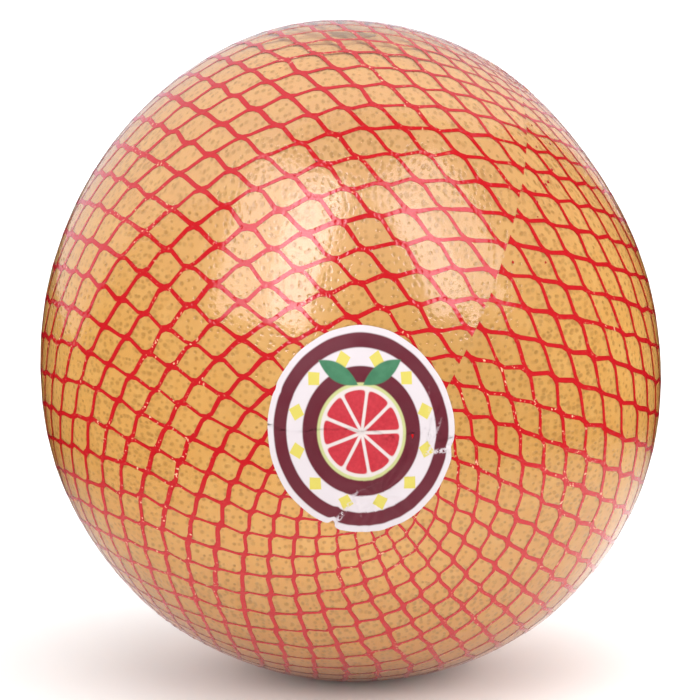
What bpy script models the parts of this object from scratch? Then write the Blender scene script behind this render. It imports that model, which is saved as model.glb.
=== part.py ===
"""A pomelo in a shrunk clear film bag that is printed with a net, with a round sticker over one corner of the bag.

The fruit stands on its blossom end, stem end up. +X is to the right and -Y towards the viewer, who faces the
sticker. The origin is on the surface that the wrapped fruit stands on, under its middle. Lengths are in metres.
"""

import math

import bmesh
import bpy
from mathutils import Matrix, Vector

# The wrapped fruit, measured over the film, before its blossom end is flattened
WRAPPED_WIDTH = 0.1520
WRAPPED_HEIGHT = 0.1638
TAPER = 0.062
FLAT_DEPTH = 0.0030
FLAT_BLEND = 0.0010

# Layers, from the peel outwards
FRUIT_CLEARANCE = 0.0003
FILM_THICKNESS = 0.0003
NET_LIFT = 0.00075
NET_THICKNESS = 0.0006
LABEL_CLEARANCE = 0.0004
LABEL_THICKNESS = 0.0004

# Stem end: a dimple, with what is left of the calyx standing in it
DIMPLE_DEPTH = 0.0038
DIMPLE_RADIUS = 0.0150
CALYX_HEIGHT = 0.0024
CALYX_RADIUS = 0.0065
CALYX_LOBES = 5
CALYX_LOBE_DEPTH = 0.16

# Rings and segments of the fruit and the film, with the rings crowded towards the stem end
SEGMENTS = 36
RINGS = 26
RING_CROWDING = 1.5

# The bag is a tube of film, flattened shut by a straight seal at each end, and shrunk round the fruit.
# The near seal's middle and its lean from upright are seen from the fruit's middle.
SEAL_AZIMUTH = math.radians(36.1)
SEAL_ELEVATION = math.radians(30.1)
SEAL_LEAN = math.radians(36.1)
SEAL_HALF_ANGLE = math.radians(52.1)
SEAL_EVENNESS = 0.35
SEAL_REACH_POWER = 6

# Printed net, its cells about 1.7 times as large as on the real bag
CELLS_ROUND = 32
CELLS_ALONG = 9
STRAND_WIDTH = 0.0023
LARGEST_STRAND_SHARE = 0.5

# Round sticker, which the shrinking film has drawn a little narrower than it is high
LABEL_WIDTH = 0.0460
LABEL_HEIGHT = 0.0514
LABEL_AZIMUTH = math.radians(2.0)
LABEL_ELEVATION = math.radians(-1.4)
LABEL_SEGMENTS = 40
LABEL_RINGS = 4

# Worked out from the dimensions above
HALF_WIDTH = WRAPPED_WIDTH / 2 / (1 + TAPER**2 / 2)
HALF_HEIGHT = WRAPPED_HEIGHT / 2
NET_PROUD = NET_LIFT + NET_THICKNESS
LABEL_PROUD = NET_PROUD + LABEL_CLEARANCE + LABEL_THICKNESS
FRUIT_PROUD = -FILM_THICKNESS - FRUIT_CLEARANCE
MIDDLE_HEIGHT = HALF_HEIGHT + NET_PROUD - FLAT_DEPTH
QUARTER_TURN = math.pi / 2
MERGE_DISTANCE = 1e-6
SMALLEST_ANGLE = 1e-9


def clear_scene():
    """Removes what is in the scene and makes the collection for the parts."""
    for leftover in list(bpy.data.objects):
        bpy.data.objects.remove(leftover)
    parts = bpy.data.collections.new("pomelo_parts")
    bpy.context.scene.collection.children.link(parts)
    return parts


def make_material(name, colour, roughness, alpha=1.0):
    """Principled material of one colour, see-through where alpha is under 1."""
    material = bpy.data.materials.new(name)
    material.use_nodes = True
    surface = material.node_tree.nodes["Principled BSDF"]
    surface.inputs["Base Color"].default_value = (*colour, 1)
    surface.inputs["Roughness"].default_value = roughness
    surface.inputs["Metallic"].default_value = 0
    surface.inputs["Alpha"].default_value = alpha
    return material


def place(shape, name, material, parts):
    """Turns a bmesh into a named, smooth-shaded object in the parts collection."""
    mesh = bpy.data.meshes.new(name)
    shape.to_mesh(mesh)
    shape.free()
    mesh.materials.append(material)
    mesh.shade_smooth()
    piece = bpy.data.objects.new(name, mesh)
    parts.objects.link(piece)
    return piece


def thicken(piece, thickness):
    """Gives an open surface a wall on its inner side."""
    wall = piece.modifiers.new("wall", "SOLIDIFY")
    wall.thickness = thickness
    wall.offset = -1
    wall.use_even_offset = True
    wall.use_rim = True


def direction_from(azimuth, elevation):
    """Unit vector from the fruit's middle, with azimuth 0 towards the viewer and growing to the right."""
    level = math.cos(elevation)
    return Vector((level * math.sin(azimuth), -level * math.cos(azimuth), math.sin(elevation)))


def lean_from_upright(outward, lean):
    """Unit vector square to outward, leant to the right of upright."""
    upright = (Vector((0, 0, 1)) - outward * outward.z).normalized()
    rightward = upright.cross(outward)
    return upright * math.cos(lean) + rightward * math.sin(lean)


def smooth_max(height, floor, blend):
    """The higher of two heights, rounded over within blend of each other."""
    nearness = max(blend - abs(height - floor), 0) / blend
    return max(height, floor) + blend * nearness**2 / 4


def on_skin(direction, proud):
    """Point in a direction from the fruit's middle, proud of the film's outside.

    The wrapped fruit is a turned egg, a little wider below its middle, and flattened where it stands.
    """
    across = math.hypot(direction.x, direction.y)
    taper = 1 - TAPER * direction.z
    normal_across = HALF_HEIGHT * across
    normal_rise = HALF_WIDTH * (direction.z * taper + TAPER * across**2)
    normal_length = math.hypot(normal_across, normal_rise)
    radius = HALF_WIDTH * across * taper + proud * normal_across / normal_length
    height = MIDDLE_HEIGHT + HALF_HEIGHT * direction.z + proud * normal_rise / normal_length
    turn = math.atan2(direction.y, direction.x)
    return Vector((
        radius * math.cos(turn),
        radius * math.sin(turn),
        smooth_max(height, NET_PROUD - proud, FLAT_BLEND),
    ))


def make_ball(proud):
    """Closed ball on the wrapped fruit's form. All balls share their rings, so their facets stay parallel."""
    ball = bmesh.new()
    bmesh.ops.create_uvsphere(ball, u_segments=SEGMENTS, v_segments=RINGS, radius=1)
    for vertex in ball.verts:
        even_share = math.acos(max(-1, min(1, vertex.co.z))) / math.pi
        polar = math.pi * even_share**RING_CROWDING
        turn = math.atan2(vertex.co.y, vertex.co.x)
        direction = Vector((math.sin(polar) * math.cos(turn), math.sin(polar) * math.sin(turn), math.cos(polar)))
        vertex.co = on_skin(direction, proud)
    return ball


def make_fruit(parts):
    """The pomelo itself, one solid with its stem end's dimple and calyx."""
    fruit = make_ball(FRUIT_PROUD)
    for vertex in fruit.verts:
        across = math.hypot(vertex.co.x, vertex.co.y)
        if vertex.co.z < MIDDLE_HEIGHT:
            continue
        vertex.co.z -= DIMPLE_DEPTH * math.exp(-((across / DIMPLE_RADIUS) ** 2))
        if across < CALYX_RADIUS:
            lobes = 1 + CALYX_LOBE_DEPTH * math.cos(CALYX_LOBES * math.atan2(vertex.co.y, vertex.co.x))
            vertex.co.x *= lobes
            vertex.co.y *= lobes
            vertex.co.z += CALYX_HEIGHT
    place(fruit, "pomelo", make_material("peel", (0.72, 0.50, 0.17), 0.45), parts)


def make_film(parts):
    """The clear film, one wall round the fruit, with a vent under the sticker."""
    film = make_ball(0)
    sticker_middle = on_skin(direction_from(LABEL_AZIMUTH, LABEL_ELEVATION), 0)
    vent = min(film.faces, key=lambda face: (face.calc_center_median() - sticker_middle).length)
    bmesh.ops.delete(film, geom=[vent], context="FACES")
    piece = place(film, "film", make_material("clear_film", (0.95, 0.95, 0.95), 0.08, alpha=0.25), parts)
    thicken(piece, FILM_THICKNESS)


def along_tube(along, turn):
    """Direction of a point of the bag: along its tube, from -1 to 1 between the seals, and by turn round it.

    The tube is round at its middle. Towards each end it narrows to the seal, a straight line. The film shrinks
    most at the bag's corners, the ends of the seals. SEAL_EVENNESS at 1 would keep the net's pitch even there.
    """
    seal_middle = direction_from(SEAL_AZIMUTH, SEAL_ELEVATION)
    seal_line = lean_from_upright(seal_middle, SEAL_LEAN)
    seal_side = seal_middle.cross(seal_line)
    openness = 1 - abs(along)
    length = math.sqrt(SEAL_HALF_ANGLE**2 + (QUARTER_TURN**2 - SEAL_HALF_ANGLE**2) * openness**2)
    evenness = SEAL_EVENNESS * abs(along) ** SEAL_REACH_POWER
    on_line = length * ((1 - evenness) * math.cos(turn) + evenness * (1 - 2 * abs(turn) / math.pi))
    on_side = QUARTER_TURN * openness * math.sin(turn)
    away = max(math.hypot(on_line, on_side), SMALLEST_ANGLE)
    sideways = (seal_line * on_line + seal_side * on_side) / away
    return seal_middle * math.cos(away) * math.copysign(1, along) + sideways * math.sin(away)


def make_net(parts):
    """The printed net: strands that cross in diamonds all round the bag and meet along its seals.

    Each strand is flat outside and comes to a low ridge on the film's side. Strands are narrower in the small
    cells at the bag's corners.
    """
    net = bmesh.new()
    bmesh.ops.create_grid(net, x_segments=CELLS_ALONG, y_segments=CELLS_ROUND, size=1)
    middles = set(bmesh.ops.poke(net, faces=net.faces)["verts"])
    for vertex in net.verts:
        vertex.co = on_skin(along_tube(vertex.co.x, math.pi * vertex.co.y), NET_PROUD)
    bmesh.ops.remove_doubles(net, verts=net.verts, dist=MERGE_DISTANCE)
    guides = [edge for edge in net.edges if not middles.intersection(edge.verts)]
    bmesh.ops.dissolve_edges(net, edges=guides, use_verts=False)
    bmesh.ops.recalc_face_normals(net, faces=net.faces)
    crossings = list(net.verts)
    cells = list(net.faces)
    for cell in cells:
        inner_radius = 2 * cell.calc_area() / sum(edge.calc_length() for edge in cell.edges)
        strand = min(STRAND_WIDTH / 2, inner_radius * LARGEST_STRAND_SHARE)
        bmesh.ops.inset_individual(net, faces=[cell], thickness=strand, use_even_offset=True)
    bmesh.ops.delete(net, geom=cells, context="FACES")
    bmesh.ops.triangulate(net, faces=net.faces, quad_method="SHORT_EDGE")
    net.normal_update()
    outer_side = list(net.verts) + list(net.edges) + list(net.faces)
    inner_side = bmesh.ops.duplicate(net, geom=outer_side)
    for crossing in crossings:
        inner_side["vert_map"][crossing].co -= crossing.normal * NET_THICKNESS
    inner_faces = [item for item in inner_side["geom"] if isinstance(item, bmesh.types.BMFace)]
    bmesh.ops.reverse_faces(net, faces=inner_faces)
    bmesh.ops.remove_doubles(net, verts=net.verts, dist=MERGE_DISTANCE)
    place(net, "net", make_material("red_print", (0.62, 0.03, 0.06), 0.3), parts)


def make_label(parts):
    """The round sticker, a thin disc that follows the wrapped fruit."""
    middle = direction_from(LABEL_AZIMUTH, LABEL_ELEVATION)
    upright = lean_from_upright(middle, 0)
    rightward = upright.cross(middle)
    disc = bmesh.new()
    spoke = [disc.verts.new((ring / LABEL_RINGS, 0, 0)) for ring in range(LABEL_RINGS + 1)]
    arms = [disc.edges.new(pair) for pair in zip(spoke, spoke[1:])]
    bmesh.ops.spin(
        disc, geom=spoke + arms, cent=(0, 0, 0), axis=(0, 0, 1), angle=2 * math.pi,
        steps=LABEL_SEGMENTS, use_merge=True,
    )
    bmesh.ops.remove_doubles(disc, verts=disc.verts, dist=MERGE_DISTANCE)
    for vertex in disc.verts:
        sideways = vertex.co.x * LABEL_WIDTH / 2 / HALF_WIDTH
        upwards = vertex.co.y * LABEL_HEIGHT / 2 / HALF_HEIGHT
        turned = Matrix.Rotation(sideways, 3, upright) @ Matrix.Rotation(-upwards, 3, rightward) @ middle
        vertex.co = on_skin(turned, LABEL_PROUD)
    bmesh.ops.recalc_face_normals(disc, faces=disc.faces)
    if next(iter(disc.faces)).normal.dot(middle) < 0:
        bmesh.ops.reverse_faces(disc, faces=disc.faces)
    piece = place(disc, "label", make_material("sticker", (0.20, 0.03, 0.05), 0.35), parts)
    thicken(piece, LABEL_THICKNESS)


def main():
    """Builds the wrapped fruit from the peel outwards."""
    parts = clear_scene()
    make_fruit(parts)
    make_film(parts)
    make_net(parts)
    make_label(parts)


main()
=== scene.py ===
"""A pomelo in a shrunken clear film bag with a printed net and a round sticker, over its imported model."""

import math
import random

import bmesh
import bpy
from mathutils import Matrix, Vector, noise


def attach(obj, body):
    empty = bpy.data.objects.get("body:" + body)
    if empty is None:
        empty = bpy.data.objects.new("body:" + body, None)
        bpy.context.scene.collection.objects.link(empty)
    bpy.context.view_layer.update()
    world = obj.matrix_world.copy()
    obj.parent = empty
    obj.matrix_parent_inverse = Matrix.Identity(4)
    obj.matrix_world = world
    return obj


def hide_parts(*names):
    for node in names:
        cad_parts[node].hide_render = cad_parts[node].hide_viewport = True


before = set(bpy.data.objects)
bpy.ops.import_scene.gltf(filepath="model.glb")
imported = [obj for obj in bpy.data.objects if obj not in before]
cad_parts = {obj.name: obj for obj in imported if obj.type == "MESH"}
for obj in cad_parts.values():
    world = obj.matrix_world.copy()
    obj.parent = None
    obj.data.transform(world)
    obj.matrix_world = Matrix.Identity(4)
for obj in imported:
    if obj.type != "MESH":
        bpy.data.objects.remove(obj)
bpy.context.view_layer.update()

MM = 0.001


# The pomelo: a turned egg of waxy yellow peel, full of oil glands that show as darker dots.
# It grew as one piece, a little wider below its middle, with a dimple at the stem end and a scar at the
# blossom end, which it stands on.
WRAPPED_WIDTH = 152 * MM
WRAPPED_HEIGHT = 162.2 * MM
TAPER = 0.062
LEAN = -0.022
MIDDLE_HEIGHT = 80.25 * MM
STANDING_GAP = 0.2 * MM
STANDING_BLEND = 0.5 * MM
FULL_TURN = 2 * math.pi
HALF_WIDTH = WRAPPED_WIDTH / 2 / (1 + TAPER**2 / 2)
HALF_HEIGHT = WRAPPED_HEIGHT / 2
UNEVENNESS = 0.45 * MM
UNEVENNESS_PITCH = 2.2

PEEL_PROUD = -0.08 * MM
PEEL_SUBDIVISIONS = 7
DIMPLE_DEPTH = 3.2 * MM
DIMPLE_RADIUS = 15 * MM
DIMPLE_FURROWS = 7
FURROW_SHARE = 0.10
SCAR_DEPTH = 1.2 * MM
SCAR_RADIUS = 5 * MM
GLAND_PITCH = 1.8 * MM
GLAND_SCATTER = 0.75
GLAND_SIZES = (0.26, 0.42)
GLAND_STRENGTHS = (0.55, 1)
GLAND_DARKNESS = 0.64
FACED_FROM = 0.52
FACED_FULLY = 0.62
# Below this height the peel turns to its own redder orange, made lighter as painted fill light for the
# shaded underside.
LOW_AND_PAINTED_FILL_TOP = 90 * MM
# Between these heights the upper peel is made paler, a painted haze that stands for the film's reflection
# of the light above.
PAINTED_HAZE_START = 90 * MM
PAINTED_HAZE_TOP = 150 * MM
PEEL_OCHRE = (0.77, 0.450, 0.120, 1)
PEEL_YELLOW = (0.82, 0.520, 0.168, 1)
# The underside's own orange, lightened as painted fill light where the fruit is in its own shade.
PEEL_LOW_AND_PAINTED_FILL = (0.86, 0.470, 0.145, 1)
# Painted haze: a paler colour for the upper peel, standing for the film's reflection.
PEEL_PAINTED_HAZE = (0.82, 0.525, 0.260, 1)
PEEL_MOTTLE = (0.85, 0.580, 0.230, 1)
PEEL_RUST = (0.68, 0.320, 0.080, 1)
GLAND_BROWN = (0.50, 0.262, 0.056, 1)


def egg_point(direction, proud):
    """Point in a direction from the fruit's middle, proud of the film, with the flat that it stands on."""
    across = math.hypot(direction.x, direction.y)
    taper = 1 - TAPER * direction.z
    normal_across = HALF_HEIGHT * across
    normal_rise = HALF_WIDTH * (direction.z * taper + TAPER * across**2)
    normal_length = math.hypot(normal_across, normal_rise)
    proud += UNEVENNESS * noise.noise(direction * UNEVENNESS_PITCH)
    radius = HALF_WIDTH * across * taper + proud * normal_across / normal_length
    height = MIDDLE_HEIGHT + HALF_HEIGHT * direction.z + proud * normal_rise / normal_length
    floor = STANDING_GAP - proud
    nearness = max(STANDING_BLEND - abs(height - floor), 0) / STANDING_BLEND
    height = max(height, floor) + STANDING_BLEND * nearness**2 / 4
    turn = math.atan2(direction.y, direction.x)
    lean = LEAN * (height - MIDDLE_HEIGHT)
    return Vector((radius * math.cos(turn) + lean, radius * math.sin(turn), height))


def make_ball(subdivisions):
    """Closed ball of even triangles, each corner a direction from the fruit's middle."""
    ball = bmesh.new()
    bmesh.ops.create_icosphere(ball, subdivisions=subdivisions, radius=1)
    return ball


def make_piece(shape, name, materials, replaced):
    """Turns a bmesh into a smooth piece that rides on the fruit and takes a CAD node's place."""
    mesh = bpy.data.meshes.new(name)
    shape.to_mesh(mesh)
    shape.free()
    for material in materials:
        mesh.materials.append(material)
    mesh.shade_smooth()
    piece = bpy.data.objects.new(name, mesh)
    bpy.context.scene.collection.objects.link(piece)
    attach(piece, "root")
    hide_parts(replaced)
    return piece


def new_finish(name):
    """New material. Returns it, its node tree and its Principled node."""
    material = bpy.data.materials.new(name)
    material.use_nodes = True
    return material, material.node_tree, material.node_tree.nodes["Principled BSDF"]


def add_node(tree, kind, inputs, **settings):
    """Adds a shader node. inputs maps a socket's name or number to a value or to an output."""
    node = tree.nodes.new("ShaderNode" + kind)
    for setting, value in settings.items():
        setattr(node, setting, value)
    for socket, value in inputs.items():
        feed(tree, node, socket, value)
    return node


def feed(tree, node, socket, value):
    """Sets a socket to a value, or links the output that feeds it."""
    if isinstance(value, bpy.types.NodeSocket):
        tree.links.new(value, node.inputs[socket])
    else:
        node.inputs[socket].default_value = value


def ramp(tree, factor, low, high, low_value=0.0, high_value=1.0):
    """Number that goes smoothly from low_value to high_value while factor goes from low to high."""
    inputs = {
        "Value": factor,
        "From Min": low,
        "From Max": high,
        "To Min": low_value,
        "To Max": high_value,
    }
    return add_node(tree, "MapRange", inputs, interpolation_type="SMOOTHSTEP").outputs["Result"]


def mix_colour(tree, factor, first, second):
    """Colour between two colours, given as numbers or as outputs."""
    node = add_node(tree, "Mix", {}, data_type="RGBA")
    feed(tree, node, 0, factor)
    feed(tree, node, 6, first)
    feed(tree, node, 7, second)
    return node.outputs[2]


def combine(tree, operation, first, second):
    """Result of a sum on two numbers or outputs."""
    return add_node(tree, "Math", {0: first, 1: second}, operation=operation).outputs[0]


def patches(tree, size, detail=2.0, roughness=0.5):
    """Cloudy patches of about that size, from 0 to 1."""
    place = add_node(tree, "TexCoord", {}).outputs["Object"]
    inputs = {"Vector": place, "Scale": 1 / size, "Detail": detail, "Roughness": roughness}
    return add_node(tree, "TexNoise", inputs).outputs["Fac"]


def gland_dots(tree):
    """Oil glands of the peel: 1 in a dot's middle and 0 between dots, laid on from three sides."""
    place = add_node(tree, "TexCoord", {}).outputs["Object"]
    ends = {0: place, 1: (0, 0, MIDDLE_HEIGHT)}
    outward = add_node(tree, "VectorMath", ends, operation="SUBTRACT").outputs[0]
    outward = add_node(tree, "VectorMath", {0: outward}, operation="NORMALIZE").outputs[0]
    place = add_node(tree, "SeparateXYZ", {0: place}).outputs
    outward = add_node(tree, "SeparateXYZ", {0: outward}).outputs
    glands = 0.0
    for facing, first, second in (("Y", "X", "Z"), ("X", "Y", "Z"), ("Z", "X", "Y")):
        flat = add_node(tree, "CombineXYZ", {"X": place[first], "Y": place[second]}).outputs[0]
        inputs = {"Vector": flat, "Scale": 1 / GLAND_PITCH, "Randomness": GLAND_SCATTER}
        cells = add_node(tree, "TexVoronoi", inputs, voronoi_dimensions="2D")
        chance = add_node(tree, "SeparateColor", {0: cells.outputs["Color"]}).outputs
        size = ramp(tree, chance[1], 0, 1, *GLAND_SIZES)
        nearness = combine(tree, "DIVIDE", cells.outputs["Distance"], size)
        strength = ramp(tree, chance[0], 0, 1, *GLAND_STRENGTHS)
        dot = combine(tree, "MULTIPLY", ramp(tree, nearness, 0.3, 1, 1, 0), strength)
        faced = ramp(tree, combine(tree, "ABSOLUTE", outward[facing], 0.0), FACED_FROM, FACED_FULLY)
        glands = combine(tree, "MAXIMUM", glands, combine(tree, "MULTIPLY", dot, faced))
    return glands


def add_bump(tree, height, depth, strength=1.0, normal=None):
    """Normal of a surface with relief of that depth."""
    inputs = {"Strength": strength, "Distance": depth, "Height": height}
    if normal is not None:
        inputs["Normal"] = normal
    return add_node(tree, "Bump", inputs).outputs["Normal"]


def make_peel_finish():
    """Ochre peel, with brown glands, faint rust and a waxy shine. Towards the bottom it turns its own
    redder orange and is lightened with painted fill light on the shaded underside; towards the top it is
    paler with a painted haze that stands for the film's reflection.
    """
    material, tree, surface = new_finish("pomelo_peel")
    place = add_node(tree, "TexCoord", {}).outputs["Object"]
    height = add_node(tree, "SeparateXYZ", {0: place}).outputs["Z"]
    ochre = mix_colour(tree, patches(tree, 45 * MM, 3), PEEL_OCHRE, PEEL_YELLOW)
    # Towards the bottom: the peel's own redder orange, plus painted fill light that lightens the shaded
    # underside.
    lowness_and_painted_fill = ramp(tree, height, 0, LOW_AND_PAINTED_FILL_TOP, 0.7, 0)
    ochre = mix_colour(tree, lowness_and_painted_fill, ochre, PEEL_LOW_AND_PAINTED_FILL)
    # Painted haze: paler towards the top, standing for the film's reflection of the light above.
    painted_haze = ramp(tree, height, PAINTED_HAZE_START, PAINTED_HAZE_TOP, 0, 0.8)
    ochre = mix_colour(tree, painted_haze, ochre, PEEL_PAINTED_HAZE)
    mottle = ramp(tree, patches(tree, 6 * MM, 4, 0.65), 0.42, 0.72, 0, 0.4)
    ochre = mix_colour(tree, mottle, ochre, PEEL_MOTTLE)
    rust = ramp(tree, patches(tree, 17 * MM, 5, 0.7), 0.58, 0.80, 0, 0.45)
    ochre = mix_colour(tree, rust, ochre, PEEL_RUST)
    dots = gland_dots(tree)
    ochre = mix_colour(tree, combine(tree, "MULTIPLY", dots, GLAND_DARKNESS), ochre, GLAND_BROWN)
    feed(tree, surface, "Base Color", ochre)
    feed(tree, surface, "Roughness", ramp(tree, patches(tree, 9 * MM, 3), 0.3, 0.7, 0.42, 0.58))
    surface.inputs["Specular IOR Level"].default_value = 0.35
    pits = add_bump(tree, combine(tree, "SUBTRACT", 1.0, dots), 0.12 * MM, 0.7)
    feed(tree, surface, "Normal", add_bump(tree, patches(tree, 0.9 * MM, 2), 0.05 * MM, 0.6, pits))
    return material


def make_peel():
    """The fruit, with the stem end's furrowed dimple and the blossom end's scar."""
    peel = make_ball(PEEL_SUBDIVISIONS)
    for vertex in peel.verts:
        spot = egg_point(vertex.co, PEEL_PROUD)
        across = math.hypot(spot.x, spot.y)
        if spot.z > MIDDLE_HEIGHT:
            furrow = 1 + FURROW_SHARE * math.cos(DIMPLE_FURROWS * math.atan2(spot.y, spot.x))
            spot.z -= DIMPLE_DEPTH * math.exp(-((across / DIMPLE_RADIUS / furrow) ** 2))
        else:
            spot.z += SCAR_DEPTH * math.exp(-((across / SCAR_RADIUS) ** 2))
        vertex.co = spot
    return make_piece(peel, "pomelo_peel", [make_peel_finish()], "pomelo")


make_peel()


# The calyx: the dry, five-lobed button that stays in the stem end's dimple when the fruit is cut off.
# It grew with the fruit, and is grey-brown and corky, with the cut twig's ring in its middle.
CALYX_RADIUS = 5.4 * MM
CALYX_RISE = 0.9 * MM
CALYX_LOBES = 5
LOBE_SHARE = 0.17
LOBE_WANDER = 0.03
TWIG_RING_RISE = 0.45 * MM
TWIG_RING_SHARE = 0.28
TWIG_RING_WIDTH = 0.09
CALYX_EDGE_RISE = 0.55 * MM
CALYX_SUNK = 0.3 * MM
CALYX_SKIRT = 1.2 * MM
CALYX_SEGMENTS = 80
CALYX_RINGS = 14
WELD_DISTANCE = 1e-6
CORK_DARK = (0.36, 0.215, 0.085, 1)
CORK_PALE = (0.60, 0.415, 0.185, 1)


def make_calyx_finish():
    """Dry, rough cork, blotched in two browns."""
    material, tree, surface = new_finish("calyx_cork")
    bark = mix_colour(tree, patches(tree, 2.5 * MM, 5, 0.7), CORK_DARK, CORK_PALE)
    feed(tree, surface, "Base Color", bark)
    surface.inputs["Roughness"].default_value = 0.85
    feed(tree, surface, "Normal", add_bump(tree, patches(tree, 0.7 * MM, 4), 0.3 * MM, 0.9))
    return material


def spin_disc(rings, segments):
    """Flat disc of radius 1, spun from a spoke round its middle."""
    disc = bmesh.new()
    spoke = [disc.verts.new((ring / rings, 0, 0)) for ring in range(rings + 1)]
    arms = [disc.edges.new(pair) for pair in zip(spoke, spoke[1:])]
    bmesh.ops.spin(
        disc,
        geom=spoke + arms,
        cent=(0, 0, 0),
        axis=(0, 0, 1),
        angle=FULL_TURN,
        steps=segments,
        use_merge=True,
    )
    bmesh.ops.remove_doubles(disc, verts=disc.verts, dist=WELD_DISTANCE)
    return disc


def calyx_point(share, turn):
    """Point of the button, from its middle at share 0 to its lobed edge at 1."""
    lobes = 1 + LOBE_SHARE * share * math.cos(CALYX_LOBES * turn) + LOBE_WANDER * math.sin(3 * turn)
    twig_ring = TWIG_RING_RISE * math.exp(-(((share - TWIG_RING_SHARE) / TWIG_RING_WIDTH) ** 2))
    crown = CALYX_RISE * (1 - share**3) + twig_ring
    dimple_floor = MIDDLE_HEIGHT + HALF_HEIGHT + PEEL_PROUD - DIMPLE_DEPTH
    edge_rise = CALYX_EDGE_RISE * share**2
    reach = CALYX_RADIUS * share * lobes
    height = dimple_floor + crown + edge_rise - CALYX_SUNK
    return Vector((reach * math.cos(turn), reach * math.sin(turn), height))


def make_calyx():
    """The button, spun from a spoke and closed underneath, sunk a little into the dimple."""
    button = spin_disc(CALYX_RINGS, CALYX_SEGMENTS)
    rim = [edge for edge in button.edges if edge.is_boundary]
    for vertex in button.verts:
        vertex.co = calyx_point(min(1, vertex.co.length), math.atan2(vertex.co.y, vertex.co.x))
    skirt = bmesh.ops.extrude_edge_only(button, edges=rim)["geom"]
    for vertex in (item for item in skirt if isinstance(item, bmesh.types.BMVert)):
        vertex.co.z -= CALYX_SKIRT
    bmesh.ops.holes_fill(button, edges=[edge for edge in button.edges if edge.is_boundary])
    bmesh.ops.recalc_face_normals(button, faces=button.faces)
    return make_piece(button, "calyx_button", [make_calyx_finish()], "pomelo")


make_calyx()


# The film: clear shrink film, a tube closed by a straight seal at each end and then shrunk with hot air.
# It lies tight on the peel, follows its glands a little, and keeps fine folds round the ends of its seals.
SEAL_AZIMUTH = math.radians(36.5)
SEAL_ELEVATION = math.radians(27.7)
SEAL_LEAN = math.radians(39.5)
SEAL_HALF_ANGLE = math.radians(52.4)
SEAL_EVENNESS = 0.15
SEAL_REACH_POWER = 6
QUARTER_TURN = math.pi / 2
FILM_SUBDIVISIONS = 6
FOLD_HEIGHT = 0.30 * MM
FOLD_COUNT = 13
FOLD_REACH = math.radians(9.5)
FOLD_START = math.radians(1.6)
FOLD_WANDER = 2.2
FOLD_WANDER_PITCH = 9
SEAL_RIDGE = 0.10 * MM
SEAL_RIDGE_WIDTH = math.radians(0.55)
FINE_FILM_REACH = math.radians(16)
FINE_SEAL_REACH = math.radians(2.2)
GLOSS_ROUGHNESS = 0.13
GLOSS_IOR = 1.52
CLEAR_FILM = (0.985, 0.98, 0.97, 1)


def direction_from(azimuth, elevation):
    """Unit vector from the fruit's middle, with azimuth 0 towards the viewer and growing to the right."""
    level = math.cos(elevation)
    return Vector((level * math.sin(azimuth), -level * math.cos(azimuth), math.sin(elevation)))


def lean_from_upright(outward, lean):
    """Unit vector square to outward, leant to the right of upright."""
    upright = (Vector((0, 0, 1)) - outward * outward.z).normalized()
    rightward = upright.cross(outward)
    return upright * math.cos(lean) + rightward * math.sin(lean)


seal_middle = direction_from(SEAL_AZIMUTH, SEAL_ELEVATION)
seal_line = lean_from_upright(seal_middle, SEAL_LEAN)
seal_side = seal_middle.cross(seal_line)
bag_corners = [
    seal_middle * near * math.cos(SEAL_HALF_ANGLE) + seal_line * end * math.sin(SEAL_HALF_ANGLE)
    for near in (1, -1)
    for end in (1, -1)
]


def seal_distance(direction):
    """Angle from a direction to the nearer seal."""
    along_seal = direction.dot(seal_line)
    if abs(along_seal) > math.sin(SEAL_HALF_ANGLE):
        return min(direction.angle(corner) for corner in bag_corners)
    return abs(math.asin(direction.dot(seal_side)))


def film_point(direction, proud):
    """Point of the film's outside, or proud of it, with the bag corners' folds and the seals' ridges."""
    relief = SEAL_RIDGE * math.exp(-((seal_distance(direction) / SEAL_RIDGE_WIDTH) ** 2))
    for number, corner in enumerate(bag_corners):
        away = direction.angle(corner)
        if away > FINE_FILM_REACH:
            continue
        round_corner = direction - corner * direction.dot(corner)
        turn = math.atan2(round_corner.dot(seal_side), round_corner.dot(seal_line))
        wander = FOLD_WANDER * noise.noise(direction * FOLD_WANDER_PITCH + Vector((number, 0, 0)))
        fold = abs(math.sin(FOLD_COUNT / 2 * turn + wander)) ** 3
        reach = math.exp(-((away / FOLD_REACH) ** 2)) * (1 - math.exp(-((away / FOLD_START) ** 2)))
        reach *= 1 - (away / FINE_FILM_REACH) ** 2
        relief += FOLD_HEIGHT * fold * reach
    return egg_point(direction, proud + relief)


def film_relief(tree):
    """Normal of the film, which sinks a little into each gland and ripples between them."""
    glands = add_bump(tree, combine(tree, "SUBTRACT", 1.0, gland_dots(tree)), 0.07 * MM, 0.6)
    ripples = add_bump(tree, patches(tree, 3.2 * MM, 2), 0.12 * MM, 0.5, glands)
    return add_bump(tree, patches(tree, 16 * MM, 2), 0.5 * MM, 0.35, ripples)


def make_film_finish():
    """Clear gloss: see-through where it faces the eye, and mirroring towards its edge."""
    material, tree, surface = new_finish("clear_film")
    tree.nodes.remove(surface)
    tautness = film_relief(tree)
    gloss = {"Color": (1, 1, 1, 1), "Roughness": GLOSS_ROUGHNESS, "Normal": tautness}
    shine = add_node(tree, "BsdfGlossy", gloss)
    clear = add_node(tree, "BsdfTransparent", {"Color": CLEAR_FILM})
    mirror = add_node(tree, "Fresnel", {"IOR": GLOSS_IOR, "Normal": tautness}).outputs[0]
    both = add_node(tree, "MixShader", {0: mirror, 1: clear.outputs[0], 2: shine.outputs[0]})
    tree.links.new(both.outputs[0], tree.nodes["Material Output"].inputs["Surface"])
    return material


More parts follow.
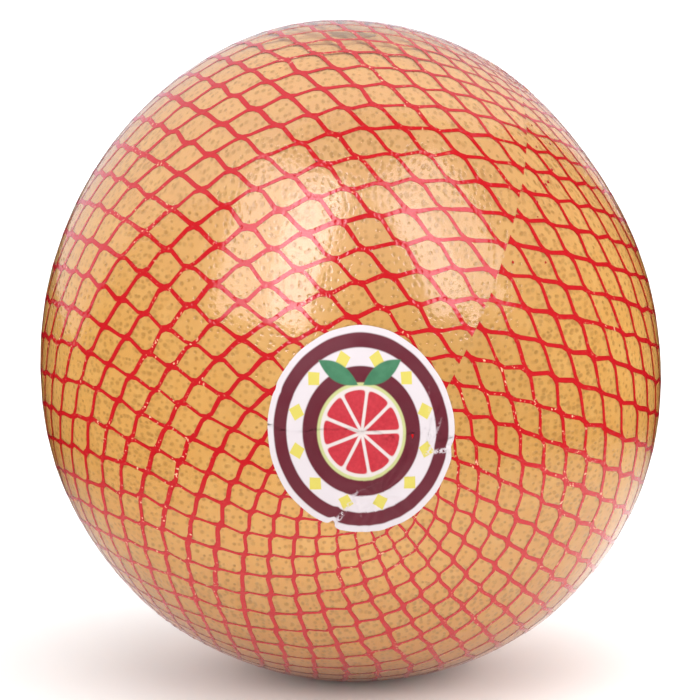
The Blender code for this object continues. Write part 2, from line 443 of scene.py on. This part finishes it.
def make_film():
    """The film, one closed skin, with finer triangles where it is folded."""
    film = make_ball(FILM_SUBDIVISIONS)
    for fineness in (1.0, 0.7):
        folded = {
            vertex
            for vertex in film.verts
            if min(vertex.co.angle(corner) for corner in bag_corners) < FINE_FILM_REACH * fineness
            or seal_distance(vertex.co.normalized()) < FINE_SEAL_REACH * fineness
        }
        fine_edges = [edge for edge in film.edges if folded.issuperset(edge.verts)]
        bmesh.ops.subdivide_edges(film, edges=fine_edges, cuts=1, use_grid_fill=True)
        bmesh.ops.triangulate(film, faces=[face for face in film.faces if len(face.verts) > 4])
    for vertex in film.verts:
        vertex.co = film_point(vertex.co.normalized(), 0)
    return make_piece(film, "clear_film", [make_film_finish()], "film")


make_film()


# The net: red ink, printed on the film before the bag was made, as strands that cross in diamonds.
# The print is cut off at the seals, where its two sides don't meet, and it has shrunk with the film.
CELLS_ROUND = 53
CELLS_ALONG = 15
SPARE_ROWS = 1
EDGE_CUTS = 3
TUBE_RADIUS = HALF_WIDTH
TUBE_HALF_LENGTH = HALF_WIDTH * QUARTER_TURN
PAST_KNOTS = 0.14
HALF_CELL_LENGTH = TUBE_HALF_LENGTH / (CELLS_ALONG + 2 * PAST_KNOTS)
HALF_CELL_HEIGHT = math.pi * TUBE_RADIUS / CELLS_ROUND
STRAND_WIDTH = 1.1 * MM
STRAND_UNEVENNESS = 0.35
STRAND_UNEVENNESS_RATE = 140
STRAND_BIAS = -0.45
BIAS_EVERYWHERE = 0.25
STRAND_SWAY = (0.15, 0.95)
KNOT_JITTER = 0.55 * MM
KNOT_FULLNESS = 0.28
PLACE_DECIMALS = 6
PRINT_WANDER = 0.9 * MM
PRINT_WANDER_PITCH = 24 * MM
PRINT_WANDER_SEED = 5
SEAL_SHIFT = 0.26
SEAL_GAP = 0.0005
INK_THICKNESS = 0.02 * MM
INK_PROUD = 0.045 * MM
INK_SHARP_ANGLE = math.radians(40)
NET_SEED = 7
INK_RED = (0.435, 0.008, 0.012, 1)
INK_DARK_RED = (0.375, 0.006, 0.009, 1)
INK_WORN = (0.60, 0.06, 0.06, 1)
INK_NICKED = (0.80, 0.50, 0.28, 1)


def along_tube(along, turn):
    """Direction of a point of the bag: along its tube, from -1 to 1 seal to seal, and by turn round it."""
    openness = 1 - abs(along)
    length = math.sqrt(SEAL_HALF_ANGLE**2 + (QUARTER_TURN**2 - SEAL_HALF_ANGLE**2) * openness**2)
    evenness = SEAL_EVENNESS * abs(along) ** SEAL_REACH_POWER
    on_line = length * ((1 - evenness) * math.cos(turn) + evenness * (1 - 2 * abs(turn) / math.pi))
    on_side = QUARTER_TURN * openness * math.sin(turn)
    away = max(math.hypot(on_line, on_side), 1e-9)
    sideways = (seal_line * on_line + seal_side * on_side) / away
    return seal_middle * math.cos(away) * math.copysign(1, along) + sideways * math.sin(away)


def round_the_roll(point):
    """Direction round the tube of film at a point of it, which is square to its length."""
    return Vector((1, 0, 0)).cross(Vector((0, point.y, point.z))).normalized()


def in_order(elements):
    """Corners or edges sorted by place, so that chance gives each the same number on every run."""

    def place(element):
        corners = getattr(element, "verts", [element])
        middle = sum((corner.co for corner in corners), Vector()) / len(corners)
        return [round(part, PLACE_DECIMALS) for part in middle]

    return sorted(elements, key=place)


def make_diamonds(chance):
    """Diamonds round the tube of film as it came off the roll, with a spare row of them past each seal."""
    diamonds = bmesh.new()
    rows = CELLS_ALONG + 2 * SPARE_ROWS
    bmesh.ops.create_grid(diamonds, x_segments=rows, y_segments=CELLS_ROUND, size=1)
    middles = set(bmesh.ops.poke(diamonds, faces=diamonds.faces)["verts"])
    for vertex in diamonds.verts:
        turn = math.pi * vertex.co.y
        along = vertex.co.x * HALF_CELL_LENGTH * rows
        vertex.co = Vector((along, TUBE_RADIUS * math.cos(turn), TUBE_RADIUS * math.sin(turn)))
    bmesh.ops.remove_doubles(diamonds, verts=diamonds.verts, dist=WELD_DISTANCE)
    inner = [edge for edge in diamonds.edges if not edge.is_boundary]
    guides = [edge for edge in inner if not middles.intersection(edge.verts)]
    bmesh.ops.dissolve_edges(diamonds, edges=guides, use_verts=False)
    halves = [face for face in diamonds.faces if len(face.verts) == 3]
    bmesh.ops.delete(diamonds, geom=halves, context="FACES")
    bmesh.ops.recalc_face_normals(diamonds, faces=diamonds.faces)
    for vertex in in_order(diamonds.verts):
        vertex.co.x += chance.uniform(-KNOT_JITTER, KNOT_JITTER) / 2
        vertex.co += round_the_roll(vertex.co) * chance.uniform(-KNOT_JITTER, KNOT_JITTER) / 2
    return diamonds


def bend_strands(diamonds, chance):
    """Cuts the diamonds' edges into short lengths and bends each into an S, level at its knots."""
    sway = diamonds.edges.layers.float.new("sway")
    knots = {}
    for edge in in_order(diamonds.edges):
        edge[sway] = chance.uniform(*STRAND_SWAY)
        knots[edge[sway]] = [vertex.co.copy() for vertex in edge.verts]
    bmesh.ops.bisect_edges(diamonds, edges=diamonds.edges, cuts=EDGE_CUTS)
    for vertex in diamonds.verts:
        if len(vertex.link_edges) != 2:
            continue
        bend = vertex.link_edges[0][sway]
        start, end = knots[bend]
        share = (vertex.co.x - start.x) / (end.x - start.x)
        across = round_the_roll(vertex.co)
        rise = (end - start).dot(across)
        vertex.co -= across * rise * bend * math.sin(FULL_TURN * share) / FULL_TURN


def open_holes(diamonds):
    """Cuts a hole in each diamond, and leaves strands whose widths vary a little from place to place."""
    holes = list(diamonds.faces)
    outlines = {}
    for hole in holes:
        middle = hole.calc_center_median()
        outlines[hole] = (middle, [vertex.co.copy() for vertex in hole.verts])
    bmesh.ops.inset_individual(diamonds, faces=holes, thickness=STRAND_WIDTH / 2, use_even_offset=True)
    for hole in holes:
        middle, outline = outlines[hole]
        across = round_the_roll(middle)
        for vertex, edge_point in zip(hole.verts, outline):
            away = edge_point - middle
            family = 4 * away.x / HALF_CELL_LENGTH * away.dot(across) / HALF_CELL_HEIGHT
            openness = 1 - abs(middle.x) / TUBE_HALF_LENGTH
            bias = STRAND_BIAS * (BIAS_EVERYWHERE + middle.y / TUBE_RADIUS) * openness
            width = 1 + bias * family
            width += STRAND_UNEVENNESS * noise.noise(edge_point * STRAND_UNEVENNESS_RATE)
            width += KNOT_FULLNESS * max(0, 1 - 4 * abs(away.x) / HALF_CELL_LENGTH)
            vertex.co = edge_point + (vertex.co - edge_point) * width
    bmesh.ops.delete(diamonds, geom=holes, context="FACES")


def make_ink_finish():
    """Red ink with the film's gloss, uneven in strength, with pale nicks where the bag has rubbed."""
    material, tree, surface = new_finish("red_ink")
    ink = mix_colour(tree, patches(tree, 8 * MM, 3), INK_RED, INK_DARK_RED)
    wear = ramp(tree, patches(tree, 1.6 * MM, 3), 0.62, 0.80, 0, 0.3)
    ink = mix_colour(tree, wear, ink, INK_WORN)
    rubbed = ramp(tree, patches(tree, 32 * MM, 2), 0.50, 0.62, 0, 0.8)
    nicks = combine(tree, "MULTIPLY", rubbed, ramp(tree, patches(tree, 0.8 * MM, 3), 0.62, 0.67))
    feed(tree, surface, "Base Color", mix_colour(tree, nicks, ink, INK_NICKED))
    surface.inputs["Roughness"].default_value = GLOSS_ROUGHNESS
    surface.inputs["IOR"].default_value = GLOSS_IOR
    feed(tree, surface, "Normal", film_relief(tree))
    return material


def make_net():
    """The print: diamonds with holes, cut at the seals, shrunk on to the fruit and given a thickness."""
    chance = random.Random(NET_SEED)
    net = make_diamonds(chance)
    bend_strands(net, chance)
    open_holes(net)
    for end in (1, -1):
        bmesh.ops.bisect_plane(
            net,
            geom=list(net.verts) + list(net.edges) + list(net.faces),
            dist=1e-7,
            plane_co=(end * TUBE_HALF_LENGTH * (1 - SEAL_GAP), 0, 0),
            plane_no=(end, 0, 0),
            clear_outer=True,
        )
    noise.seed_set(PRINT_WANDER_SEED)
    for vertex in net.verts:
        wander = noise.noise_vector(vertex.co / PRINT_WANDER_PITCH) * PRINT_WANDER
        wander *= 1 - abs(vertex.co.x) / TUBE_HALF_LENGTH
        along = (vertex.co.x + wander.x) / TUBE_HALF_LENGTH
        turn = math.atan2(vertex.co.z, vertex.co.y) + wander.y / TUBE_RADIUS
        turn += SEAL_SHIFT * math.pi / CELLS_ROUND
        turn = (turn + math.pi) % FULL_TURN - math.pi
        vertex.co = film_point(along_tube(along, turn), INK_PROUD)
    bmesh.ops.triangulate(net, faces=[face for face in net.faces if len(face.verts) > 4])
    net.normal_update()
    bmesh.ops.solidify(net, geom=net.faces, thickness=INK_THICKNESS)
    piece = make_piece(net, "printed_net", [make_ink_finish()], "net")
    piece.data.set_sharp_from_angle(angle=INK_SHARP_ANGLE)
    return piece


make_net()


# The specks: a few drops of the same red ink that spattered beside the seal when the film was printed.
# They are flat, uneven spots of well under a millimetre.
SPECK_COUNT = 16
SPECK_RADIUS = (0.16 * MM, 0.42 * MM)
SPECK_CORNERS = 12
SPECK_UNEVENNESS = (0.75, 1.2)
SPECK_SPREAD = math.radians(9)
SPECK_CLEARANCE = 0.15
SPECKS_ALONG_SEAL = (-0.1, 0.75)
SPECK_SEED = 21


def make_specks():
    """The ink drops, each a small uneven disc bent on to the film, strewn beside the seal."""
    chance = random.Random(SPECK_SEED)
    specks = bmesh.new()
    for _ in range(SPECK_COUNT):
        along_seal = chance.uniform(*SPECKS_ALONG_SEAL) * SEAL_HALF_ANGLE
        aside = -chance.uniform(SPECK_CLEARANCE, 1) * SPECK_SPREAD
        middle = seal_middle * math.cos(along_seal) + seal_line * math.sin(along_seal)
        middle = (middle * math.cos(aside) + seal_side * math.sin(aside)).normalized()
        radius = chance.uniform(*SPECK_RADIUS) / HALF_WIDTH
        turn = middle.to_track_quat("Z", "Y").to_matrix()
        disc = bmesh.ops.create_circle(specks, cap_ends=True, segments=SPECK_CORNERS, radius=radius)
        for vertex in disc["verts"]:
            reach = chance.uniform(*SPECK_UNEVENNESS)
            direction = (middle + turn @ (vertex.co * reach)).normalized()
            vertex.co = film_point(direction, INK_PROUD)
    specks.normal_update()
    bmesh.ops.solidify(specks, geom=specks.faces, thickness=INK_THICKNESS)
    make_piece(specks, "ink_specks", [bpy.data.materials["red_ink"]], "net")


make_specks()


# The sticker: a round label of coated paper, which shrank with the bag, so it is taller than wide.
# It is printed in maroon inside a white rim, pinched at its right edge and torn at its lower left.
STICKER_WIDTH = 44.7 * MM
STICKER_HEIGHT = 50.6 * MM
STICKER_AZIMUTH = math.radians(2.0)
STICKER_ELEVATION = math.radians(-3.6)
STICKER_PROUD = 0.22 * MM
PAPER_THICKNESS = 0.08 * MM
STICKER_RINGS = 56
STICKER_SEGMENTS = 300
PAPER_SHARP_ANGLE = math.radians(50)
PAPER_DENTS = 0.10 * MM
CREASE_WIDTH = 0.022
TEAR_TURN = math.radians(-109)
PINCH_TURN = math.radians(-11)
NOTCH_TURN = math.radians(157)
TEAR_WIDTH = math.radians(3)
TEAR_STEP = 0.020
TEAR_STEP_LENGTH = 12
TEAR_DEPTH = 0.055
PINCH_WIDTH = math.radians(3.5)
PINCH_DEPTH = 0.030
NOTCH_WIDTH = math.radians(2)
NOTCH_DEPTH = 0.012
RIM_SHARE = 0.935
BAND_MIDDLE = 0.71
BAND_HALF_WIDTH = 0.085
DIAMONDS_ROUND = 12
DIAMOND_HALF_WIDTH = 0.085
WHEEL_SHARE = 0.47
WHEEL_PITH_SHARE = 0.93
WHEEL_FLESH_SHARE = 0.86
WHEEL_SEGMENTS = 9
MEMBRANE_HALF_WIDTH = 0.014
LEAF_PLACE = (0.24, 0.56)
LEAF_LEAN = math.radians(62)
LEAF_HALF_LENGTH = 0.24
LEAF_HALF_WIDTH = 0.085
PAPER_WHITE = (0.54, 0.485, 0.50, 1)
PAPER_WORN = (0.50, 0.44, 0.46, 1)
MAROON = (0.118, 0.009, 0.020, 1)
DARK_MAROON = (0.090, 0.007, 0.016, 1)
DIAMOND_YELLOW = (0.52, 0.44, 0.08, 1)
RIND_GREEN = (0.42, 0.43, 0.18, 1)
PITH_WHITE = (0.55, 0.48, 0.46, 1)
FLESH_DARK = (0.30, 0.005, 0.014, 1)
FLESH_PINK = (0.52, 0.025, 0.040, 1)
LEAF_DARK = (0.022, 0.110, 0.050, 1)
LEAF_PALE = (0.055, 0.200, 0.100, 1)
# Each crease runs between two places on the sticker. It stands this many millimetres high at the first.
CREASES = [
    (Vector((0.99, -0.20)), Vector((0.66, -0.22)), 0.45),
    (Vector((0.72, -0.20)), Vector((0.74, 0.42)), 0.22),
    (Vector((0.70, -0.22)), Vector((0.86, 0.10)), 0.30),
    (Vector((-0.32, -0.94)), Vector((-0.06, -0.58)), 0.45),
    (Vector((-0.10, -0.62)), Vector((-0.02, -0.84)), 0.25),
    (Vector((-0.06, -0.58)), Vector((0.40, -0.40)), 0.10),
]
sticker_middle = direction_from(STICKER_AZIMUTH, STICKER_ELEVATION)
sticker_upward = lean_from_upright(sticker_middle, 0)
sticker_rightward = sticker_upward.cross(sticker_middle)


def crease_closeness(spot):
    """How near a place on the sticker is to a crease, from 0 to the crease's height in millimetres."""
    closest = 0
    for start, end, height in CREASES:
        run = end - start
        share = max(0, min(1, (spot - start).dot(run) / run.length_squared))
        away = (spot - start - run * share).length / CREASE_WIDTH
        closest = max(closest, height * math.exp(-(away**2)) * (1 - 0.6 * share))
    return closest


def rim_reach(turn):
    """Share of its full radius that the sticker reaches, with the tear's step and the rim's nicks."""
    past_tear = (turn - TEAR_TURN) / TEAR_WIDTH
    step = TEAR_STEP if 0 < past_tear < TEAR_STEP_LENGTH else 0
    tear = -TEAR_DEPTH * math.exp(-((past_tear * 1.4 + 0.5) ** 2))
    pinch = -PINCH_DEPTH * math.exp(-(((turn - PINCH_TURN) / PINCH_WIDTH) ** 2))
    notch = -NOTCH_DEPTH * math.exp(-(((turn - NOTCH_TURN) / NOTCH_WIDTH) ** 2))
    waves = 0.004 * math.sin(5 * turn + 1) + 0.002 * math.sin(17 * turn)
    return 1 + step * (1 - past_tear / TEAR_STEP_LENGTH) + tear + pinch + notch + waves


def on_sticker(spot, proud):
    """Point above the fruit for a place on the sticker, whose middle is at 0 and whose rim is 1 away."""
    sideways = spot.x * STICKER_WIDTH / 2 / HALF_WIDTH
    upwards = spot.y * STICKER_HEIGHT / 2 / HALF_HEIGHT
    direction = Matrix.Rotation(-upwards, 3, sticker_rightward) @ sticker_middle
    direction = Matrix.Rotation(sideways, 3, sticker_upward) @ direction
    dents = PAPER_DENTS * noise.noise(Vector((spot.x * 3, spot.y * 3, 5)))
    return film_point(direction, STICKER_PROUD + proud + dents + crease_closeness(spot) * MM)


def below(tree, value, limit, softness=0.010):
    """1 where a number is under a limit and 0 where it is over, with a printed edge's softness between."""
    return ramp(tree, value, limit - softness, limit + softness, 1, 0)


def printed_leaf(tree, spot, middle, lean, half_length, half_width):
    """1 inside a pointed leaf of the artwork, and 0 outside it."""
    away = add_node(tree, "VectorMath", {0: spot, 1: middle.to_3d()}, operation="SUBTRACT").outputs[0]
    inputs = {"Vector": away, "Angle": -lean}
    turned = add_node(tree, "VectorRotate", inputs, rotation_type="Z_AXIS").outputs[0]
    turned = add_node(tree, "SeparateXYZ", {0: turned}).outputs
    along = combine(tree, "DIVIDE", turned["X"], half_length)
    room = combine(tree, "SUBTRACT", 1.0, combine(tree, "MULTIPLY", along, along))
    across = combine(tree, "ABSOLUTE", turned["Y"], 0.0)
    return below(tree, combine(tree, "SUBTRACT", across, combine(tree, "MULTIPLY", room, half_width)), 0)


def sector_offset(tree, turn, reach, count):
    """Distance round the artwork from the middle of the nearest of so many equal sectors."""
    share = combine(tree, "MULTIPLY", turn, count / FULL_TURN)
    share = combine(tree, "SUBTRACT", combine(tree, "FRACT", share, 0.0), 0.5)
    share = combine(tree, "ABSOLUTE", share, 0.0)
    return combine(tree, "MULTIPLY", combine(tree, "MULTIPLY", share, FULL_TURN / count), reach)


def make_sticker_finish():
    """Satin paper, printed with a citrus wheel, diamonds and leaves, and worn white at its creases."""
    material, tree, surface = new_finish("printed_paper")
    spot = add_node(tree, "UVMap", {}, uv_map="artwork").outputs[0]
    inputs = {0: spot, 1: (2, 2, 0), 2: (-1, -1, 0)}
    spot = add_node(tree, "VectorMath", inputs, operation="MULTIPLY_ADD").outputs[0]
    reach = add_node(tree, "VectorMath", {0: spot}, operation="LENGTH").outputs["Value"]
    parts = add_node(tree, "SeparateXYZ", {0: spot}).outputs
    turn = combine(tree, "ARCTAN2", parts["Y"], parts["X"])
    maroon = mix_colour(tree, patches(tree, 9 * MM, 3), MAROON, DARK_MAROON)
    colour = mix_colour(tree, below(tree, reach, RIM_SHARE), PAPER_WHITE, maroon)
    off_band = combine(tree, "ABSOLUTE", combine(tree, "SUBTRACT", reach, BAND_MIDDLE), 0.0)
    colour = mix_colour(tree, below(tree, off_band, BAND_HALF_WIDTH), colour, PAPER_WHITE)
    off_diamond = sector_offset(tree, turn, reach, DIAMONDS_ROUND)
    off_diamond = combine(tree, "DIVIDE", off_diamond, DIAMOND_HALF_WIDTH)
    off_diamond = combine(tree, "ADD", off_diamond, combine(tree, "DIVIDE", off_band, DIAMOND_HALF_WIDTH))
    colour = mix_colour(tree, below(tree, off_diamond, 1, 0.08), colour, DIAMOND_YELLOW)
    colour = mix_colour(tree, below(tree, reach, WHEEL_SHARE), colour, RIND_GREEN)
    colour = mix_colour(tree, below(tree, reach, WHEEL_SHARE * WHEEL_PITH_SHARE), colour, PITH_WHITE)
    membrane = sector_offset(tree, turn, reach, WHEEL_SEGMENTS)
    width = combine(tree, "MULTIPLY", reach, math.pi / WHEEL_SEGMENTS)
    flesh = combine(tree, "SUBTRACT", width, MEMBRANE_HALF_WIDTH)
    flesh = combine(tree, "SUBTRACT", flesh, membrane)
    limits = {0: flesh, 1: combine(tree, "SUBTRACT", WHEEL_SHARE * WHEEL_FLESH_SHARE, reach), 2: 0.06}
    flesh = add_node(tree, "Math", limits, operation="SMOOTH_MIN").outputs[0]
    sacs = mix_colour(tree, patches(tree, 0.8 * MM, 3), FLESH_DARK, FLESH_PINK)
    colour = mix_colour(tree, ramp(tree, flesh, -0.006, 0.010), colour, sacs)
    for side in (1, -1):
        middle = Vector((LEAF_PLACE[0] * side, LEAF_PLACE[1]))
        lean = QUARTER_TURN - LEAF_LEAN * side
        leaf = printed_leaf(tree, spot, middle, lean, LEAF_HALF_LENGTH, LEAF_HALF_WIDTH)
        green = mix_colour(tree, patches(tree, 2 * MM, 2), LEAF_DARK, LEAF_PALE)
        colour = mix_colour(tree, leaf, colour, green)
    wear = add_node(tree, "Attribute", {}, attribute_name="wear").outputs["Fac"]
    scuffs = ramp(tree, patches(tree, 0.7 * MM, 4), 0.42, 0.55)
    scuffs = combine(tree, "MULTIPLY", ramp(tree, wear, 0.10, 0.6), scuffs)
    specks = ramp(tree, patches(tree, 1.1 * MM, 5, 0.7), 0.72, 0.76, 0, 0.55)
    colour = mix_colour(tree, combine(tree, "MAXIMUM", scuffs, specks), colour, PAPER_WORN)
    feed(tree, surface, "Base Color", colour)
    feed(tree, surface, "Roughness", ramp(tree, patches(tree, 5 * MM, 3), 0.3, 0.7, 0.34, 0.46))
    surface.inputs["Specular IOR Level"].default_value = 0.35
    feed(tree, surface, "Normal", add_bump(tree, patches(tree, 3 * MM, 3), 0.10 * MM, 0.5))
    return material


def make_sticker():
    """The sticker, spun from a spoke, laid on the film and given its paper's thickness."""
    sticker = spin_disc(STICKER_RINGS, STICKER_SEGMENTS)
    bmesh.ops.recalc_face_normals(sticker, faces=sticker.faces)
    if next(iter(sticker.faces)).normal.z < 0:
        bmesh.ops.reverse_faces(sticker, faces=sticker.faces)
    artwork = sticker.loops.layers.uv.new("artwork")
    wear = sticker.verts.layers.float.new("wear")
    for face in sticker.faces:
        for loop in face.loops:
            loop[artwork].uv = (loop.vert.co.to_2d() + Vector((1, 1))) / 2
    for vertex in sticker.verts:
        spot = vertex.co.to_2d()
        vertex[wear] = crease_closeness(spot) * 2
        reach = 1 + (rim_reach(math.atan2(spot.y, spot.x)) - 1) * spot.length**6
        vertex.co = on_sticker(spot * reach, 0)
    bmesh.ops.solidify(sticker, geom=sticker.faces, thickness=PAPER_THICKNESS)
    piece = make_piece(sticker, "printed_sticker", [make_sticker_finish()], "label")
    piece.data.set_sharp_from_angle(angle=PAPER_SHARP_ANGLE)
    return piece


make_sticker()


# The studio: a pale floor, even light from all round, and soft boxes. Two stand in front with a gap
# between them, and show as two patches of shine on the film, and others only fill in the shaded sides.
CAMERA_DISTANCE = 2.2
CAMERA_ELEVATION = math.radians(11)
PHOTO_WIDTH_PX = 700
FRUIT_WIDTH_PX = 621
SENSOR_MM = 36
FLOOR_RADIUS = 6
FLOOR_DROP = 0.2 * MM
GROUND_SEGMENTS = 96
GROUND_WHITE = (0.95, 0.94, 0.93, 1)
TABLE_RADIUS = 0.27
TABLE_FADE_START = 0.06
TABLE_SHIFT = 0.05
SURROUND_LIGHT = 1.32
SURROUND_COLOUR = (0.98, 0.985, 1.0, 1)
LIGHT_DISTANCE = 1.4
SHINE_COLOUR = (1.0, 0.97, 1.07)
FILL_COLOUR = (1.0, 1.0, 1.0)


def make_camera():
    """Camera at the photograph's angle, with the fruit as wide in its frame."""
    camera = bpy.data.objects.new("camera", bpy.data.cameras.new("camera"))
    bpy.context.scene.collection.objects.link(camera)
    outward = direction_from(0, CAMERA_ELEVATION)
    camera.location = Vector((0, 0, MIDDLE_HEIGHT)) + outward * CAMERA_DISTANCE
    camera.rotation_euler = outward.to_track_quat("Z", "Y").to_euler()
    half_fruit = math.tan(math.asin(WRAPPED_WIDTH / 2 / CAMERA_DISTANCE))
    half_view = half_fruit * PHOTO_WIDTH_PX / FRUIT_WIDTH_PX
    camera.data.sensor_width = SENSOR_MM
    camera.data.lens = SENSOR_MM / 2 / half_view
    camera.data.clip_start = 0.01
    bpy.context.scene.camera = camera


def make_soft_box(name, azimuth, elevation, width, height, radiance, shine_only=True):
    """Large soft box, a rectangle that faces the fruit. It only adds shine, or only fills in."""
    lamp = bpy.data.lights.new(name, "AREA")
    lamp.shape = "RECTANGLE"
    lamp.size = width
    lamp.size_y = height
    lamp.energy = radiance * math.pi * width * height
    lamp.color = SHINE_COLOUR if shine_only else FILL_COLOUR
    box = bpy.data.objects.new(name, lamp)
    outward = direction_from(math.radians(azimuth), math.radians(elevation))
    box.location = Vector((0, 0, MIDDLE_HEIGHT)) + outward * LIGHT_DISTANCE
    box.rotation_euler = outward.to_track_quat("Z", "Y").to_euler()
    box.visible_camera = False
    box.visible_diffuse = not shine_only
    box.visible_glossy = shine_only
    bpy.context.scene.collection.objects.link(box)


def make_ground(name, radius, height):
    """Flat pale ground. Returns it with its material's tree and shader."""
    shape = bmesh.new()
    bmesh.ops.create_circle(shape, cap_ends=True, segments=GROUND_SEGMENTS, radius=radius)
    bmesh.ops.translate(shape, verts=shape.verts, vec=(0, 0, height))
    mesh = bpy.data.meshes.new(name)
    shape.to_mesh(mesh)
    shape.free()
    material, tree, surface = new_finish(name)
    surface.inputs["Base Color"].default_value = GROUND_WHITE
    surface.inputs["Roughness"].default_value = 0.9
    surface.inputs["Specular IOR Level"].default_value = 0.0
    mesh.materials.append(material)
    ground = bpy.data.objects.new(name, mesh)
    bpy.context.scene.collection.objects.link(ground)
    return ground, tree, surface


def make_floor():
    """Floor that doesn't show in the film's shine, under a table top that does and fades out into it."""
    make_ground("floor", FLOOR_RADIUS, -FLOOR_DROP)[0].visible_glossy = False
    tree, surface = make_ground("table", TABLE_RADIUS, 0)[1:]
    place = add_node(tree, "TexCoord", {}).outputs["Object"]
    ends = {0: place, 1: (TABLE_SHIFT, 0, 0)}
    reach = add_node(tree, "VectorMath", ends, operation="DISTANCE").outputs["Value"]
    feed(tree, surface, "Alpha", ramp(tree, reach, TABLE_FADE_START, TABLE_RADIUS, 1, 0))


def make_surround():
    """Even pale light from all round, which fills in but doesn't show in the film's shine."""
    world = bpy.data.worlds.new("surround")
    world.use_nodes = True
    background = world.node_tree.nodes["Background"].inputs
    background["Color"].default_value = SURROUND_COLOUR
    background["Strength"].default_value = SURROUND_LIGHT
    bpy.context.scene.world = world
    world.cycles_visibility.glossy = False


make_camera()
make_floor()
make_surround()
make_soft_box("left_box", -34, 44, 1.0, 1.25, 3.4)
make_soft_box("left_core", -21, 41, 0.42, 1.05, 4.2)
make_soft_box("right_box", 50, 44, 0.80, 1.15, 3.0)
make_soft_box("right_core", 39, 38, 0.34, 0.85, 2.6)
make_soft_box("back_box", 201, 42, 3.35, 2.8, 0.92)
make_soft_box("top_fill", 5, 74, 1.2, 1.2, 1.4, shine_only=False)
make_soft_box("low_fill", -8, 5, 1.8, 0.24, 3.0, shine_only=False)
make_soft_box("left_fill", -76, 18, 1.2, 1.2, 1.1, shine_only=False)
make_soft_box("right_fill", 80, 18, 1.2, 1.2, 1.9, shine_only=False)
bpy.context.scene.view_settings.view_transform = "Standard"
